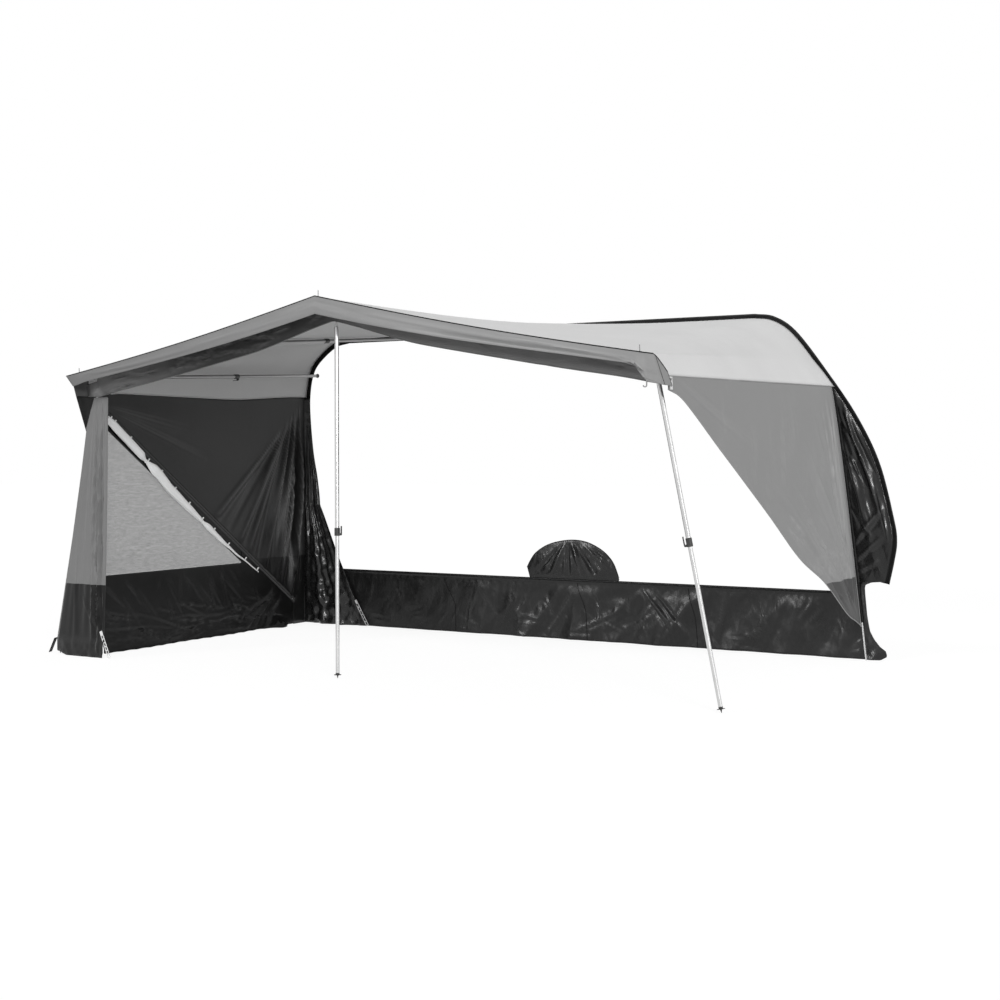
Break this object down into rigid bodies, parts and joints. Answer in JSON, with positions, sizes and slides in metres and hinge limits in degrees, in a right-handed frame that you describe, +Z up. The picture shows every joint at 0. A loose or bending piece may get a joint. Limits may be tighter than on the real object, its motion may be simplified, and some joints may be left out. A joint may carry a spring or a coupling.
{
  "type": "caravan awning",
  "caption": "Sun canopy awning for a caravan: peaked fabric roof with side walls, zipped window panel, skirt, telescopic rafters and legs with cam clamps.",
  "frame": {"origin": "middle of the footprint's bounding box, on the ground", "axes": "+X along the caravan towards the open right side, -Y out of the open front, +Y into the caravan wall, +Z up"},
  "size_m": [5.4022, 2.7904, 2.4623],
  "materials": {
    "roof_cloth": "matt",
    "grey_cloth": "matt",
    "dark_cloth": "matt",
    "mud_pvc": "coated",
    "gloss_pvc": "glossy coated",
    "window_foil": "clear foil",
    "blind_cloth": "matt",
    "aluminium": "satin",
    "clamp_plastic": "moulded",
    "white_plastic": "moulded",
    "steel": "zinc plated"
  },
  "bodies": {
    "canopy": {"roof": "roof_cloth", "front_valance": "grey_cloth", "inner_strip": "dark_cloth", "left_wall_panel": "dark_cloth", "left_door_panel": "mud_pvc", "left_window": "window_foil", "rolled_blind": "blind_cloth", "left_wing": "grey_cloth", "left_rear_panel": "gloss_pvc", "rail_band": "gloss_pvc", "draught_skirt": "mud_pvc", "wheel_arch_cover": "gloss_pvc", "right_wall_panel": "grey_cloth", "right_rear_panel": "gloss_pvc", "left_front_ladder": "white_plastic", "left_rear_ladder": "white_plastic", "right_rear_ladder": "white_plastic", "corner_buckle": "white_plastic", "corner_toggle": "clamp_plastic", "left_front_bar": "aluminium", "right_front_bar": "aluminium", "left_rafter_front_tube": "aluminium", "left_rafter_clamp": "clamp_plastic", "left_mid_rafter_front_tube": "aluminium", "left_mid_rafter_collar": "clamp_plastic", "middle_rafter_front_tube": "aluminium", "middle_rafter_clamp": "clamp_plastic", "right_mid_rafter_front_tube": "aluminium", "right_mid_rafter_collar": "clamp_plastic", "right_rafter_front_tube": "aluminium", "right_rafter_clamp": "clamp_plastic"},
    "left_rafter_slider": {"left_rafter_rear_tube": "aluminium", "left_rafter_wall_pad": "clamp_plastic"},
    "left_mid_rafter_slider": {"left_mid_rafter_rear_tube": "aluminium", "left_mid_rafter_wall_pad": "clamp_plastic"},
    "middle_rafter_slider": {"middle_rafter_rear_tube": "aluminium", "middle_rafter_wall_pad": "clamp_plastic"},
    "right_mid_rafter_slider": {"right_mid_rafter_rear_tube": "aluminium", "right_mid_rafter_wall_pad": "clamp_plastic"},
    "right_rafter_slider": {"right_rafter_rear_tube": "aluminium", "right_rafter_wall_pad": "clamp_plastic"},
    "left_rafter_lever": {"left_rafter_clamp_lever": "clamp_plastic"},
    "middle_rafter_lever": {"middle_rafter_clamp_lever": "clamp_plastic"},
    "right_rafter_lever": {"right_rafter_clamp_lever": "clamp_plastic"},
    "left_leg_upper": {"left_leg_upper_tube": "aluminium", "left_leg_clamp": "clamp_plastic"},
    "left_leg_lower": {"left_leg_lower_tube": "aluminium", "left_leg_foot": "clamp_plastic"},
    "left_leg_lever": {"left_leg_clamp_lever": "clamp_plastic"},
    "middle_leg_upper": {"middle_leg_upper_tube": "aluminium", "middle_leg_clamp": "clamp_plastic"},
    "middle_leg_lower": {"middle_leg_lower_tube": "aluminium", "middle_leg_foot": "clamp_plastic"},
    "middle_leg_lever": {"middle_leg_clamp_lever": "clamp_plastic"},
    "right_leg_upper": {"right_leg_upper_tube": "aluminium", "right_leg_clamp": "clamp_plastic"},
    "right_leg_lower": {"right_leg_lower_tube": "aluminium", "right_leg_foot": "clamp_plastic"},
    "right_leg_lever": {"right_leg_clamp_lever": "clamp_plastic"},
    "zip_slider": {"zip_slider": "steel"}
  },
  "joints": [
    {"name": "left_leg_swing", "type": "hinge", "parent": "canopy", "child": "left_leg_upper", "pos_m": [-2.26889, -1.1598, 1.98258], "axis": [0, 0.9986, 0.0537], "range_deg": [-20, 0]},
    {"name": "left_leg_slide", "type": "slide", "parent": "left_leg_upper", "child": "left_leg_lower", "axis": [0.204, 0, 0.979], "range_m": [-0.1, 0.54]},
    {"name": "left_leg_lever", "type": "hinge", "parent": "left_leg_upper", "child": "left_leg_lever", "pos_m": [-2.46533, -1.1598, 0.91961], "axis": [0, 1, 0], "range_deg": [0, 120]},
    {"name": "middle_leg_swing", "type": "hinge", "parent": "canopy", "child": "middle_leg_upper", "pos_m": [-0.20689, -1.1598, 2.39615], "axis": [0, 1, 0.0018], "range_deg": [-20, 20]},
    {"name": "middle_leg_slide", "type": "slide", "parent": "middle_leg_upper", "child": "middle_leg_lower", "axis": [0, 0, 1], "range_m": [-0.1, 0.88]},
    {"name": "middle_leg_lever", "type": "hinge", "parent": "middle_leg_upper", "child": "middle_leg_lever", "pos_m": [-0.18239, -1.1598, 0.92427], "axis": [0, 1, 0], "range_deg": [0, 120]},
    {"name": "right_leg_swing", "type": "hinge", "parent": "canopy", "child": "right_leg_upper", "pos_m": [1.99511, -1.1598, 1.98021], "axis": [0, 0.9989, 0.047], "range_deg": [0, 20]},
    {"name": "right_leg_slide", "type": "slide", "parent": "right_leg_upper", "child": "right_leg_lower", "axis": [-0.2042, 0, 0.9789], "range_m": [-0.1, 0.54]},
    {"name": "right_leg_lever", "type": "hinge", "parent": "right_leg_upper", "child": "right_leg_lever", "pos_m": [2.19131, -1.1598, 0.9196], "axis": [0, -1, 0], "range_deg": [0, 120]},
    {"name": "left_rafter_lever", "type": "hinge", "parent": "canopy", "child": "left_rafter_lever", "pos_m": [-2.26889, 0.33764, 2.03857], "axis": [1, 0, 0], "range_deg": [0, 120]},
    {"name": "middle_rafter_lever", "type": "hinge", "parent": "canopy", "child": "middle_rafter_lever", "pos_m": [-0.20689, 0.33485, 2.37435], "axis": [1, 0, 0], "range_deg": [0, 120]},
    {"name": "right_rafter_lever", "type": "hinge", "parent": "canopy", "child": "right_rafter_lever", "pos_m": [1.99511, 0.33711, 2.02605], "axis": [1, 0, 0], "range_deg": [0, 120]},
    {"name": "left_rafter_slide", "type": "slide", "parent": "canopy", "child": "left_rafter_slider", "axis": [0, -0.9986, -0.0537], "range_m": [0, 0.9]},
    {"name": "left_mid_rafter_slide", "type": "slide", "parent": "canopy", "child": "left_mid_rafter_slider", "axis": [0, -0.9961, -0.088], "range_m": [0, 0.6]},
    {"name": "middle_rafter_slide", "type": "slide", "parent": "canopy", "child": "middle_rafter_slider", "axis": [0, -1, -0.0018], "range_m": [0, 0.9]},
    {"name": "right_mid_rafter_slide", "type": "slide", "parent": "canopy", "child": "right_mid_rafter_slider", "axis": [0, -0.9957, -0.0929], "range_m": [0, 0.6]},
    {"name": "right_rafter_slide", "type": "slide", "parent": "canopy", "child": "right_rafter_slider", "axis": [0, -0.9989, -0.047], "range_m": [0, 0.9]},
    {"name": "zip_slide", "type": "slide", "parent": "canopy", "child": "zip_slider", "axis": [-0.0053, 0.8199, -0.5725], "range_m": [-2.55, 0]}
  ]
}
